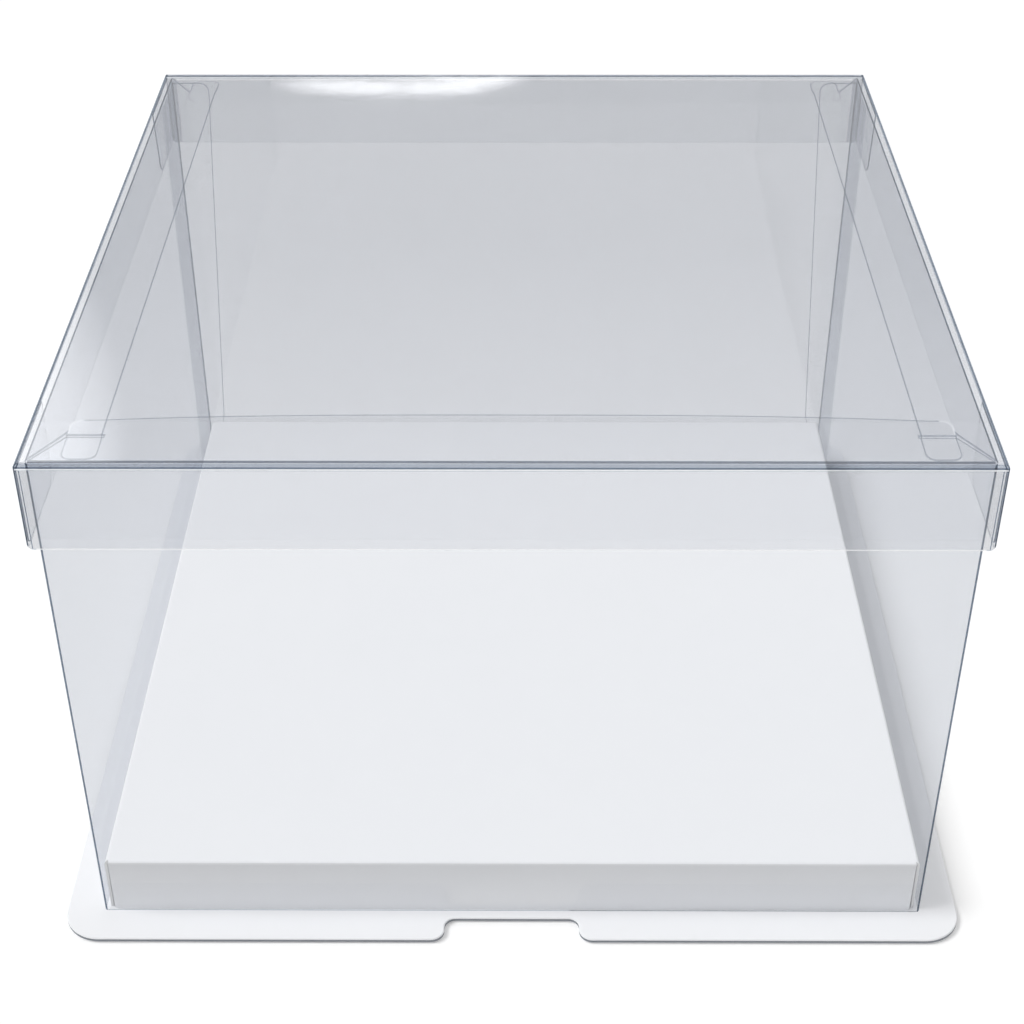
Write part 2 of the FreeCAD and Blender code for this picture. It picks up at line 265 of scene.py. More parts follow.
class Nodes:
    """The nodes of one material or of the world, added one at a time."""

    def __init__(self, tree):
        self.tree = tree
        tree.nodes.clear()

    def node(self, kind, settings=None, sockets=None, out=0):
        """Adds a node, sets it up, then gives its sockets values or links. Returns one output."""
        node = self.tree.nodes.new(kind)
        for name, value in (settings or {}).items():
            if name == "stops":
                ramp = node.color_ramp.elements
                while len(ramp) < len(value):
                    ramp.new(1.0)
                for element, (place, colour) in zip(ramp, value):
                    element.position = place
                    element.color = colour
            else:
                setattr(node, name, value)
        for name, value in (sockets or {}).items():
            if isinstance(value, Wire):
                self.tree.links.new(value.socket, node.inputs[name])
            else:
                node.inputs[name].default_value = value
        return Wire(self, node.outputs[out]) if node.outputs else None

    def mixed(self, factor, first, second):
        """A Mix Shader."""
        return self.node("ShaderNodeMixShader", None, {0: factor, 1: first, 2: second})

    def blended(self, factor, first, second):
        """A mix of two colours."""
        sockets = {"Factor": factor, 6: first, 7: second}
        return self.node("ShaderNodeMix", {"data_type": "RGBA"}, sockets, out=2)

    def noise(self, scale, detail=2.0, roughness=0.5, stretch=(1, 1, 1)):
        """Noise in the object's own metres, finer along an axis that is stretched more."""
        place = self.node("ShaderNodeTexCoord", out="Object")
        grain = self.node("ShaderNodeMapping", None, {"Vector": place, "Scale": stretch})
        sockets = {"Vector": grain, "Scale": scale, "Detail": detail, "Roughness": roughness}
        return self.node("ShaderNodeTexNoise", None, sockets)

    def bump(self, height, strength, distance):
        sockets = {"Height": height, "Strength": strength, "Distance": distance}
        return self.node("ShaderNodeBump", None, sockets)

    def surface(self, shader):
        self.node("ShaderNodeOutputMaterial", None, {"Surface": shader})


def new_finish(name):
    """A material with no nodes yet, and the means to add them."""
    material = bpy.data.materials.new(name)
    material.use_nodes = True
    return material, Nodes(material.node_tree)


def through_sheet(nodes, gloss_weight, solid, tint):
    """A thin sheet: its near face mirrors by angle and tints what is behind, its far face is clear.

    Lamps and soft light pass the sheet as if it weren't there.
    """
    near = 1 - nodes.node("ShaderNodeNewGeometry", out="Backfacing")
    lamp_ray = nodes.node("ShaderNodeLightPath", out="Is Shadow Ray")
    soft_ray = nodes.node("ShaderNodeLightPath", out="Is Diffuse Ray")
    glance = nodes.node("ShaderNodeFresnel", None, {"IOR": SHEET_IOR})
    mirror = 2 * glance / (1 + glance)
    clear = nodes.node("ShaderNodeBsdfTransparent", None, {"Color": CLEAR})
    tinted = nodes.node("ShaderNodeBsdfTransparent", None, {"Color": tint})
    face = nodes.mixed((mirror * gloss_weight).least(1.0), tinted, solid)
    sheet = nodes.mixed(near, clear, face)
    return nodes.mixed(lamp_ray.most(soft_ray), sheet, clear)


def sheet_gloss(nodes, wave_strength):
    """What the clear sheet mirrors: slightly wavy, with faint smears that blur it."""
    waves = nodes.noise(9.0, 1.0)
    ripple = nodes.noise(70.0, 2.0)
    smears = nodes.noise(38.0, 4.0, 0.6, (1, 0.35, 1))
    blur = 0.015 + 0.07 * smears ** 2
    normal = nodes.bump(waves + 0.06 * ripple, wave_strength, 2.0 * MM)
    sockets = {"Color": WHITE, "Roughness": blur, "Normal": normal}
    return nodes.node("ShaderNodeBsdfAnisotropic", None, sockets)


def clear_sheet(name, tint, shine=1.0, wave_strength=0.25):
    """Flat clear sheet."""
    material, nodes = new_finish(name)
    smears = nodes.noise(24.0, 5.0, 0.65, (1, 0.3, 1))
    weight = shine * (0.85 + 0.3 * smears)
    nodes.surface(through_sheet(nodes, weight, sheet_gloss(nodes, wave_strength), tint))
    return material


def creased_sheet(name, tint, shine):
    """Clear sheet where it is folded or cut, tinted into a dark blue-grey line: painted shade."""
    material, nodes = new_finish(name)
    streaks = nodes.noise(220.0, 3.0)
    weight = shine * (0.6 + 0.8 * streaks)
    nodes.surface(through_sheet(nodes, weight, sheet_gloss(nodes, 0.4), tint))
    return material


def painted_highlight_line(name, cover):
    """Cut or creased clear sheet drawn as a white line that glows a little, on the face it is on: a
    painted highlight, beside the folds also crease whitening.
    """
    material, nodes = new_finish(name)
    nicks = nodes.noise(420.0, 3.0)
    tone = nodes.blended(nicks, PALE_TONE, WHITE)
    sockets = {
        "Base Color": tone,
        "Roughness": 0.25 + 0.2 * nicks,
        "Normal": nodes.bump(nicks, 0.2, 0.1 * MM),
        "Emission Color": tone,
        "Emission Strength": PALE_PAINTED_GLOW,
    }
    glow = nodes.node("ShaderNodeBsdfPrincipled", None, sockets)
    clear = nodes.node("ShaderNodeBsdfTransparent", None, {"Color": CLEAR})
    near = 1 - nodes.node("ShaderNodeNewGeometry", out="Backfacing")
    lamp_ray = nodes.node("ShaderNodeLightPath", out="Is Shadow Ray")
    covered = (cover + 0.2 * (nicks - 0.5)) * near * (1 - lamp_ray)
    nodes.surface(nodes.mixed(covered, clear, glow))
    return material


def card(name, light_tone, dark_tone, sheen, painted_shade=0.0):
    """Coated card: faint cloudy tone, fine fibres in its relief and a soft sheen.

    A tray wall's card gets painted shade, darker towards the fold above it.
    """
    material, nodes = new_finish(name)
    cloud = nodes.noise(22.0, 3.0)
    fibre = nodes.noise(900.0, 4.0, 0.6, (1, 0.3, 1))
    fleck = nodes.noise(2600.0, 2.0)
    tone = nodes.blended(0.7 * cloud + 0.3 * fibre, dark_tone, light_tone)
    if painted_shade:
        place = nodes.node("ShaderNodeTexCoord", out="Object")
        height = nodes.node("ShaderNodeSeparateXYZ", None, {0: place}, out="Z")
        rise = ((height - BOARD_TOP) / (TRAY_TOP - BOARD_TOP)).most(0.0).least(1.0)
        tone = nodes.blended(painted_shade * rise, tone, BLACK)
    sockets = {
        "Base Color": tone,
        "Roughness": sheen + 0.12 * fibre + 0.08 * (cloud - 0.5),
        "Normal": nodes.bump(0.6 * fibre + 0.4 * fleck, 0.12, 0.05 * MM),
        "Specular IOR Level": 0.2,
    }
    nodes.surface(nodes.node("ShaderNodeBsdfPrincipled", None, sockets))
    return material


def pulp_edge(name, light_tone, dark_tone):
    """The cut edge of board or card, where its layers show as fine lines."""
    material, nodes = new_finish(name)
    layers = nodes.noise(120.0, 3.0, 0.6, (1, 1, 40))
    tufts = nodes.noise(1800.0, 3.0)
    tone = nodes.blended(0.6 * layers + 0.4 * tufts, dark_tone, light_tone)
    sockets = {
        "Base Color": tone,
        "Roughness": 0.75 + 0.2 * tufts,
        "Normal": nodes.bump(layers + 0.5 * tufts, 0.4, 0.1 * MM),
    }
    nodes.surface(nodes.node("ShaderNodeBsdfPrincipled", None, sockets))
    return material


FINISHES = {
    "panel": clear_sheet("clear_panel_sheet", PANEL_TINT, wave_strength=0.06),
    "front": clear_sheet("clear_front_sheet", FRONT_TINT),
    "back": clear_sheet("clear_back_sheet", BACK_TINT),
    "side": clear_sheet("clear_side_sheet", SIDE_TINT, shine=0.25),
    "seam": clear_sheet("clear_seam_sheet", SEAM_TINT, shine=0.25),
    "skirt": clear_sheet("clear_skirt_sheet", SKIRT_TINT),
    "skirt_end": clear_sheet("clear_skirt_end_sheet", SKIRT_END_TINT),
    "side_skirt": clear_sheet("clear_side_skirt_sheet", SIDE_SKIRT_TINT, shine=0.3),
    "back_skirt": clear_sheet("clear_back_skirt_sheet", BACK_SKIRT_TINT, shine=0.7),
    "flap": clear_sheet("clear_flap_sheet", FLAP_TINT, shine=0.3),
    "front_flap": clear_sheet("clear_front_flap_sheet", FRONT_FLAP_TINT),
    "fold": creased_sheet("clear_sheet_fold", FOLD_TINT, shine=0.4),
    "crease": creased_sheet("clear_sheet_crease", CREASE_TINT, shine=0.25),
    "edge": creased_sheet("clear_sheet_cut_edge", EDGE_TINT, shine=0.3),
    "faint": creased_sheet("clear_sheet_faint_edge", FAINT_TINT, shine=0.6),
    "pale": painted_highlight_line("clear_sheet_painted_highlight_line", PALE_COVER),
    "card": card("white_coated_card", CARD_LIGHT, CARD_DARK, CARD_SHEEN),
    "board": card("white_base_board", BOARD_LIGHT, BOARD_DARK, BOARD_SHEEN),
    "wall_card": card("tray_wall_card_painted_shade", CARD_LIGHT, CARD_DARK, CARD_SHEEN, WALL_PAINTED_SHADE),
    "card_edge": pulp_edge("card_cut_edge", CARD_EDGE_LIGHT, CARD_EDGE_DARK),
    "board_edge": pulp_edge("board_cut_edge", BOARD_EDGE_LIGHT, BOARD_EDGE_DARK),
    "rib": card("brown_rib_card", RIB_LIGHT, RIB_DARK, RIB_SHEEN),
}


def oblong(left, right, low, high):
    """Corners of a flat upright rectangle."""
    return [(left, low), (right, low), (right, high), (left, high)]


def mirrored_end(corners):
    """An outline's other end, from the (u, v, radius) corners of its right one."""
    return [(-u, v, radius) for u, v, radius in reversed(corners)]


def both_ways(places):
    """Cut lines at these distances on both sides of u = 0."""
    return [(0, way * place) for place in places for way in (1, -1)]


def rounded(corners):
    """Points of a flat outline from (u, v, radius) corners, with an arc at each radius."""
    points = []
    for i, (u, v, radius) in enumerate(corners):
        here = Vector((u, v))
        if not radius:
            points.append(here)
            continue
        to_last = (Vector(corners[i - 1][:2]) - here).normalized()
        to_next = (Vector(corners[(i + 1) % len(corners)][:2]) - here).normalized()
        half_angle = to_last.angle(to_next) / 2
        centre = here + (to_last + to_next).normalized() * (radius / math.sin(half_angle))
        spoke = here + to_last * (radius / math.tan(half_angle)) - centre
        last_spoke = here + to_next * (radius / math.tan(half_angle)) - centre
        sweep = (math.pi - 2 * half_angle) * math.copysign(1, spoke.cross(last_spoke))
        steps = max(ARC_LEAST_STEPS, math.ceil(abs(sweep) * radius / ARC_STEP))
        for step in range(steps + 1):
            points.append(centre + Matrix.Rotation(sweep * step / steps, 2) @ spoke)
    return points


def sheet_piece(name, outline, lay, thickness, finish, edge, band=0.0, cuts=()):
    """A closed thin sheet: a flat outline, split along its cut lines and laid in space.

    lay(u, v) gives a point of the middle surface and the way its outside faces. finish and edge
    are names of finishes, or functions of (u, v) that give them, or give one for each face as a pair.
    """
    flat = bmesh.new()
    flat.faces.new([flat.verts.new((u, v, 0)) for u, v in outline])
    flat.normal_update()
    at_edge = flat.faces.layers.int.new("at_edge")
    if band:
        ring = bmesh.ops.inset_region(
            flat, faces=flat.faces[:], thickness=band, use_even_offset=True, use_boundary=True
        )
        for face in ring["faces"]:
            face[at_edge] = 1
    for axis, value in cuts:
        across = Vector((0, 0, 0))
        across[axis] = 1
        geometry = flat.verts[:] + flat.edges[:] + flat.faces[:]
        place = across * value
        bmesh.ops.bisect_plane(flat, geom=geometry, dist=CUT_TOLERANCE, plane_co=place, plane_no=across)

    used = []

    def finish_index(choice, place, inside=False):
        wanted = choice(place.x, place.y) if callable(choice) else choice
        if isinstance(wanted, tuple):
            wanted = wanted[inside]
        if wanted not in used:
            used.append(wanted)
        return used.index(wanted)

    solid = bmesh.new()
    outer = {}
    inner = {}
    for vert in flat.verts:
        point, outside = lay(vert.co.x, vert.co.y)
        outer[vert] = solid.verts.new(point + outside * thickness / 2)
        inner[vert] = solid.verts.new(point - outside * thickness / 2)
    for face in flat.faces:
        choice = edge if face[at_edge] else finish
        for skin in (outer, inner):
            index = finish_index(choice, face.calc_center_median(), skin is inner)
            solid.faces.new([skin[vert] for vert in face.verts]).material_index = index
    for rim in flat.edges:
        if rim.is_boundary:
            a, b = rim.verts
            index = finish_index(edge, (a.co + b.co) / 2)
            solid.faces.new((outer[a], outer[b], inner[b], inner[a])).material_index = index
    bmesh.ops.recalc_face_normals(solid, faces=solid.faces[:])
    flat.free()
    return finished(name, solid, used)


def finished(name, solid, used):
    """Makes the object of a mesh whose faces use these finishes in this order."""
    mesh = bpy.data.meshes.new(name)
    solid.to_mesh(mesh)
    solid.free()
    for wanted in used:
        mesh.materials.append(FINISHES[wanted])
    return placed(name, mesh)


def placed(name, content):
    """A new object in the scene."""
    holder = bpy.data.objects.new(name, content)
    bpy.context.scene.collection.objects.link(holder)
    return holder


def stand_for(piece, node, body):
    """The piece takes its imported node's place."""
    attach(piece, body)
    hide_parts(node)


def turned(run, radius, sweep=math.pi / 2):
    """Where a sheet is after running on over a crease of this sweep: along, away and its turn."""
    turn = min(max(run / radius, 0.0), sweep)
    rest = run - turn * radius
    along = radius * math.sin(turn) + rest * math.cos(turn)
    away = radius * (1 - math.cos(turn)) + rest * math.sin(turn)
    return along, away, turn


def creased(origin, across, along, away, radius, sweep=math.pi / 2):
    """Lays a sheet that runs along and then turns away over a crease which starts at v = 0."""

    def lay(u, v):
        run, drop, turn = turned(v, radius, sweep)
        outside = along * math.sin(turn) - away * math.cos(turn)
        return origin + across * u + along * run + away * drop, outside

    return lay


def plain(origin, across, along):
    """Lays a flat sheet."""
    outside = across.cross(along)
    return lambda u, v: (origin + across * u + along * v, outside)


def crease_length(outer_radius, thickness):
    """How much of a sheet's middle surface is inside a right-angled crease."""
    return (outer_radius - thickness / 2) * math.pi / 2


def crease_cuts(outer_radius, thickness):
    """Cut lines across a crease that starts at v = 0."""
    length = crease_length(outer_radius, thickness)
    return [(1, length * step / CREASE_STEPS) for step in range(1, CREASE_STEPS + 1)]


def mitred_end(half, outer_radius, thickness, limit):
    """Outline points down one end of a crease, cut to meet the neighbouring crease."""
    middle = outer_radius - thickness / 2
    points = []
    for step in range(CREASE_STEPS + 1):
        turn = math.pi / 2 * step / CREASE_STEPS
        points.append((min(half - outer_radius + middle * math.sin(turn), limit), middle * turn))
    return points


def turned_down_side(half, foot_half, outer_radius, thickness, limit, length, foot_radius):
    """Outline of a side turned down from a flat top, symmetrical about u = 0."""
    end = mitred_end(half, outer_radius, thickness, limit)
    foot = [(foot_half, length, foot_radius), (-foot_half, length, foot_radius)]
    right_end = [(u, v, 0.0) for u, v in end]
    return rounded(right_end + foot + mirrored_end(right_end))


def lid_panel():
    """The lid's flat top, inside its folds."""
    half_width = LID_HALF.x - LID_CREASE_RADIUS
    half_depth = LID_HALF.y - LID_CREASE_RADIUS
    outline = oblong(-half_width, half_width, -half_depth, half_depth)
    origin = UP * (LID_TOP - FILM / 2)
    piece = sheet_piece("lid_top_sheet", outline, plain(origin, RIGHT, BACK), SHEET, "panel", "panel")
    stand_for(piece, "lid_top_panel", "lid")


def lid_skirt(side, out):
    """A skirt with the fold it hangs from. The left and right ones fit between the other two."""
    across = UP.cross(out)
    half = abs(LID_HALF.dot(across))
    reach = abs(LID_HALF.dot(out))
    limit = half - FILM / 2 if side in ("front", "back") else half - FILM
    fold = crease_length(LID_CREASE_RADIUS, FILM)
    length = fold + LID_TOP - LID_CREASE_RADIUS - SKIRT_FOOT
    outline = turned_down_side(half, limit, LID_CREASE_RADIUS, FILM, limit, length, SKIRT_RADIUS)

    dark_from = fold * FOLD_DARK_FROM[side]
    grey_from = dark_from - fold * FOLD_GREY
    pale_end = fold + CREASE_WHITENING_AND_HIGHLIGHT
    shade_end = pale_end + SHADE_LINE
    foot_line = length - SKIRT_BAND
    end_line = limit - TAB_LINE
    tab_line = limit - TAB_LINE_INSET
    tab_line_end = tab_line + TAB_LINE
    turn_line = SLEEVE_HALF - SKIRT_TURN
    # the skirt's foot line and the line below its fold are painted highlights
    foot_finish = "pale" if side == "front" else ("pale", "faint")
    sheet_finish = {"front": "skirt", "back": "back_skirt"}.get(side, "side_skirt")

    def finish(u, v):
        if v < grey_from:
            return "panel"
        if v < dark_from:
            return "fold"
        if v < fold:
            return "crease"
        if v > foot_line:
            return foot_finish if abs(u) < SLEEVE_HALF else "edge"
        if abs(u) > end_line:
            return "crease"
        if side == "front" and v > shade_end and tab_line < abs(u) < tab_line_end:
            return "crease"
        if v < shade_end:
            return "pale" if v < pale_end else "edge"
        if side in ("front", "back") and abs(u) > turn_line:
            return "skirt_end"
        return sheet_finish

    origin = out * (reach - LID_CREASE_RADIUS) + UP * (LID_TOP - FILM / 2)
    lay = creased(origin, across, out, -UP, LID_CREASE_RADIUS - FILM / 2)
    cuts = crease_cuts(LID_CREASE_RADIUS, FILM) + [(1, pale_end), (1, shade_end), (1, foot_line)]
    cuts += both_ways((end_line, tab_line, tab_line_end, SLEEVE_HALF, turn_line))
    piece = sheet_piece(f"lid_{side}_skirt_sheet", outline, lay, SHEET, finish, finish, 0, cuts)
    stand_for(piece, f"lid_{side}_skirt", "lid")


def lid_corner_tab(end, side):
    """A tab turned back from the end of the front or back skirt, inside a side skirt."""
    low, high = TAB_BOX
    length = high.y - low.y
    foot = low.z
    top = high.z - LID_CREASE_RADIUS
    taper = length - CORNER_TAB_TAPER
    corners = [(0, foot, SKIRT_RADIUS), (taper, foot, CORNER_TAB_RADIUS), (length, top, 0), (0, top, 0)]
    along = SIDES[end] * -1
    origin = SIDES[end] * -low.y + SIDES[side] * (LID_HALF.x - FILM * 1.5)
    lay = plain(origin, along, UP)
    name = f"lid_{end}_{side}_tab"
    piece = sheet_piece(f"{name}_sheet", rounded(corners), lay, SHEET, "side_skirt", "crease", EDGE_BAND)
    stand_for(piece, name, "lid")


def sleeve_front_wall():
    """The front wall with the two upright folds at its ends."""
    half_flat = SLEEVE_HALF - CREASE_RADIUS
    fold = crease_length(CREASE_RADIUS, FILM)
    half = half_flat + fold
    top = END_FLAP_TOP - CREASE_RADIUS
    outline = oblong(-half, half, SLEEVE_FOOT, top)

    def lay(u, v):
        side = math.copysign(1, u)
        run, drop, turn = turned(abs(u) - half_flat, CREASE_RADIUS - FILM / 2)
        point = Vector((side * (half_flat + run), FILM / 2 - SLEEVE_DEEP + drop, v))
        return point, Vector((side * math.sin(turn), -math.cos(turn), 0))

    foot_line = SLEEVE_FOOT + FOOT_BAND

    def finish(u, v):
        if abs(u) > half_flat:
            return "crease"
        return "edge" if v < foot_line else "front"

    fold_lines = [half_flat + fold * step / CREASE_STEPS for step in range(CREASE_STEPS)]
    cuts = [(1, foot_line)] + both_ways(fold_lines)
    piece = sheet_piece("sleeve_front_wall_sheet", outline, lay, SHEET, finish, finish, 0, cuts)
    stand_for(piece, "sleeve_front_wall", "sleeve")


def sleeve_side_wall(side):
    """A side wall, from the front fold to its cut edge at the back."""
    top = SIDE_FLAP_TOP - CREASE_RADIUS
    front = CREASE_RADIUS - SLEEVE_DEEP
    back = SLEEVE_DEEP - FILM
    outline = oblong(front, back, SLEEVE_FOOT, top)

    def edge(u, v):
        return "edge" if u > back - FILM else "side"

    lay = plain(SIDES[side] * (SLEEVE_HALF - FILM / 2), BACK, UP)
    piece = sheet_piece(f"sleeve_{side}_wall_sheet", outline, lay, SHEET, "side", edge, EDGE_BAND)
    stand_for(piece, f"sleeve_{side}_wall", "sleeve")


def sleeve_back_wall():
    """The separate back panel, cut straight at both ends."""
    top = END_FLAP_TOP - CREASE_RADIUS
    half = SLEEVE_HALF
    outline = oblong(-half, half, SLEEVE_FOOT, top)

    def edge(u, v):
        return "edge" if abs(u) > half - FILM else "back"

    lay = plain(BACK * (SLEEVE_DEEP - FILM / 2), RIGHT, UP)
    piece = sheet_piece("sleeve_back_wall_sheet", outline, lay, SHEET, "back", edge, EDGE_BAND)
    stand_for(piece, "sleeve_back_wall", "sleeve")


def past_crease(distance):
    """Where a point of a flap is on the flat sheet, from its distance behind the wall's outer face."""
    return distance - CREASE_RADIUS + crease_length(CREASE_RADIUS, FILM)


def bowed_edge(half):
    """The end flap's inner edge from its right end to its left, widest at the middle."""
    points = []
    for step in range(BOW_STEPS + 1):
        place = 1 - 2 * step / BOW_STEPS
        points.append((half * place, past_crease(END_FLAP_WIDTH - END_FLAP_BOW * abs(place) ** 3), 0.0))
    return points


def sleeve_end_flap(side):
    """The front or back flap: mitred ends, a locking slit in each end and a bowed inner edge."""
    out = SIDES[side]
    fold = crease_length(CREASE_RADIUS, FILM)
    half_slit = FILM / 2 + SLIT_CLEARANCE
    flap_end = SLEEVE_HALF - LOCK_INSET
    slit_floor = SLEEVE_HALF - SIDE_FLAP_WIDTH - SLIT_CLEARANCE
    near_lip = past_crease(LOCK_OFFSET - half_slit)
    far_lip = past_crease(LOCK_OFFSET + half_slit)
    end_edge = past_crease(END_FLAP_WIDTH - END_FLAP_BOW)
    right_end = [
        (SLEEVE_HALF - CREASE_RADIUS, 0.0, 0.0),
        (SLEEVE_HALF - CREASE_RADIUS, past_crease(CREASE_RADIUS), 0.0),
        (flap_end, near_lip, 0.0),
        (slit_floor, near_lip, 0.0),
        (slit_floor, far_lip, 0.0),
        (flap_end, far_lip, 0.0),
        (flap_end, end_edge, END_FLAP_RADIUS / 2),
    ]
    outline = rounded(right_end + bowed_edge(flap_end - END_FLAP_RADIUS) + mirrored_end(right_end))
    origin = out * (SLEEVE_DEEP - FILM / 2) + UP * (END_FLAP_TOP - CREASE_RADIUS)
    lay = creased(origin, UP.cross(out), UP, -out, CREASE_RADIUS - FILM / 2)

    def finish(u, v):
        if side == "back":
            return "flap"
        share = v / fold
        return "crease" if FLAP_FOLD_DARK_FROM < share < FLAP_FOLD_DARK_TO else "front_flap"

    def edge(u, v):
        at_end = abs(u) > flap_end - END_FLAP_RADIUS / 2
        if v < fold:
            return finish(u, v)
        if side == "back":
            return "faint" if at_end else "flap"
        # the front flap's rounded ends get a painted highlight
        return "pale" if v > far_lip and at_end else "edge"

    cuts = crease_cuts(CREASE_RADIUS, FILM)
    band = FRONT_FLAP_BAND if side == "front" else FLAP_BAND
    name = f"sleeve_{side}_flap"
    piece = sheet_piece(f"{name}_sheet", outline, lay, SHEET, finish, edge, band, cuts)
    stand_for(piece, name, "sleeve")


def sleeve_side_flap(side):
    """A side flap over both end flaps: each end has a tab that dips through a slit and lies below."""
    out = SIDES[side]
    fold = crease_length(CREASE_RADIUS, FILM)
    slit = SLEEVE_DEEP - LOCK_OFFSET
    dip_start = slit - TAB_DIP / 2
    tip = SLEEVE_DEEP - TAB_TIP_INSET
    tab_side = past_crease(LOCK_INSET)
    inner = past_crease(SIDE_FLAP_WIDTH)
    right_end = [
        (SLEEVE_DEEP - CREASE_RADIUS, 0.0, 0.0),
        (SLEEVE_DEEP - CREASE_RADIUS, past_crease(CREASE_RADIUS), 0.0),
        (slit, past_crease(LOCK_INSET - SLIT_CLEARANCE * 2), 0.0),
        (dip_start, tab_side, 0.0),
        (tip, tab_side, TAB_RADIUS),
        (tip, inner, TAB_RADIUS),
    ]
    outline = rounded(right_end + mirrored_end(right_end))
    origin = out * (SLEEVE_HALF - FILM / 2) + UP * (SIDE_FLAP_TOP - CREASE_RADIUS)
    folded = creased(origin, UP.cross(out), UP, -out, CREASE_RADIUS - FILM / 2)

    def lay(u, v):
        point, outside = folded(u, v)
        dip = min(max((abs(u) - dip_start) / TAB_DIP, 0.0), 1.0)
        if v >= tab_side - SLIT_CLEARANCE / 2:
            point = point - UP * (2 * FILM * dip * dip * (3 - 2 * dip))
        return point, outside

    def finish(u, v):
        return "crease" if v < fold else "flap"

    def edge(u, v):
        return "crease" if v < fold else "edge"

    dip_lines = [dip_start + TAB_DIP * step / DIP_STEPS for step in range(DIP_STEPS + 1)]
    cuts = crease_cuts(CREASE_RADIUS, FILM) + both_ways(dip_lines)
    name = f"sleeve_{side}_flap"
    piece = sheet_piece(f"{name}_sheet", outline, lay, SHEET, finish, edge, FLAP_BAND, cuts)
    stand_for(piece, name, "sleeve")


def seam_back_leg(side):
    """The seam strip's leg on the back wall, tapering downwards and cut away at its foot."""
    low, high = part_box(f"sleeve_{side}_seam_back_leg")
    width = high.x - low.x + FILM
    cut_top = low.z + SEAM_CUT_HEIGHT
    corners = [
        (FILM, low.z, 0.0),
        (SEAM_FOOT_WIDTH, low.z, 0.0),
        (SEAM_LOW_WIDTH, cut_top, 0.0),
        (width, high.z, SEAM_RADIUS),
        (FILM, high.z, 0.0),
    ]
    origin = SIDES[side] * SLEEVE_HALF + BACK * ((low.y + high.y) / 2)
    lay = plain(origin, SIDES[side] * -1, UP)

    def edge(u, v):
        return "crease" if u < FILM + EDGE_BAND else "edge"

    name = f"sleeve_{side}_seam_back_leg"
    piece = sheet_piece(f"{name}_sheet", rounded(corners), lay, SHEET, "flap", edge, EDGE_BAND)
    stand_for(piece, name, "sleeve")


def seam_side_leg(side):
    """The seam strip's leg on the side wall."""
    low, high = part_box(f"sleeve_{side}_seam_side_leg")
    corners = [(low.y, low.z, 0), (high.y, low.z, 0), (high.y, high.z, 0), (low.y, high.z, SEAM_RADIUS)]
    lay = plain(RIGHT * ((low.x + high.x) / 2), BACK, UP)
    name = f"sleeve_{side}_seam_side_leg"
    piece = sheet_piece(f"{name}_sheet", rounded(corners), lay, SHEET, "seam", "faint", EDGE_BAND)
    stand_for(piece, name, "sleeve")


def tray_deck():
    """The flat card top, inside its folds."""
    half_width = TRAY_HALF.x - CARD_CREASE_RADIUS
    half_depth = TRAY_HALF.y - CARD_CREASE_RADIUS
    outline = oblong(-half_width, half_width, -half_depth, half_depth)
    origin = UP * (TRAY_TOP - CARD / 2)
    piece = sheet_piece("tray_deck_card", outline, plain(origin, RIGHT, BACK), CARD, "card", "card")
    stand_for(piece, "tray_deck", "base")


def tray_wall(side, out):
    """A wall with the fold it hangs from. The front and back ones fit between the side walls."""
    across = UP.cross(out)
    half = abs(TRAY_HALF.dot(across))
    reach = abs(TRAY_HALF.dot(out))
    fold = crease_length(CARD_CREASE_RADIUS, CARD)
    length = fold + TRAY_TOP - CARD_CREASE_RADIUS - BOARD_TOP
    limit = half
    foot_half = half
    foot_radius = 0.0
    sweep = math.pi / 2
    if side in ("front", "back"):
        limit = half - CARD - CORNER_SLIT
        foot_half = limit - WALL_TAPER
        foot_radius = WALL_RADIUS
        sweep -= WALL_LEAN
    outline = turned_down_side(half, foot_half, CARD_CREASE_RADIUS, CARD, limit, length, foot_radius)
    origin = out * (reach - CARD_CREASE_RADIUS) + UP * (TRAY_TOP - CARD / 2)
    lay = creased(origin, across, out, -UP, CARD_CREASE_RADIUS - CARD / 2, sweep)

    def finish(u, v):
        # below the fold's middle the wall takes the card with painted shade
        return "card" if v < fold / 2 else "wall_card"

    cuts = crease_cuts(CARD_CREASE_RADIUS, CARD)
    piece = sheet_piece(f"tray_{side}_wall_card", outline, lay, CARD, finish, "card_edge", 0, cuts)
    stand_for(piece, f"tray_{side}_wall", "base")


def base_board():
    """The flat board with rounded corners, a finger notch front and back, and softened edges."""
    half_notch = NOTCH_WIDTH / 2
    notch_floor = BOARD_HALF.y - NOTCH_DEPTH
    front_edge = [
        (-BOARD_HALF.x, -BOARD_HALF.y, BOARD_RADIUS),
        (-half_notch, -BOARD_HALF.y, NOTCH_OUTER_RADIUS),
        (-half_notch, -notch_floor, NOTCH_INNER_RADIUS),
        (half_notch, -notch_floor, NOTCH_INNER_RADIUS),
        (half_notch, -BOARD_HALF.y, NOTCH_OUTER_RADIUS),
        (BOARD_HALF.x, -BOARD_HALF.y, BOARD_RADIUS),
    ]
    back_edge = [(-x, -y, radius) for x, y, radius in front_edge]
    lay = plain(UP * BOARD_TOP / 2, RIGHT, BACK)
    outline = rounded(front_edge + back_edge)
    piece = sheet_piece("base_board_card", outline, lay, BOARD_TOP, "board", "board_edge")
    solid = bmesh.new()
    solid.from_mesh(piece.data)
    rims = [e for e in solid.edges if len({face.material_index for face in e.link_faces}) > 1]
    bmesh.ops.bevel(
        solid,
        geom=rims,
        offset=BOARD_BEVEL,
        segments=BOARD_BEVEL_STEPS,
        profile=0.5,
        affect="EDGES",
        material=0,
    )
    solid.to_mesh(piece.data)
    solid.free()
    stand_for(piece, "base_board", "base")


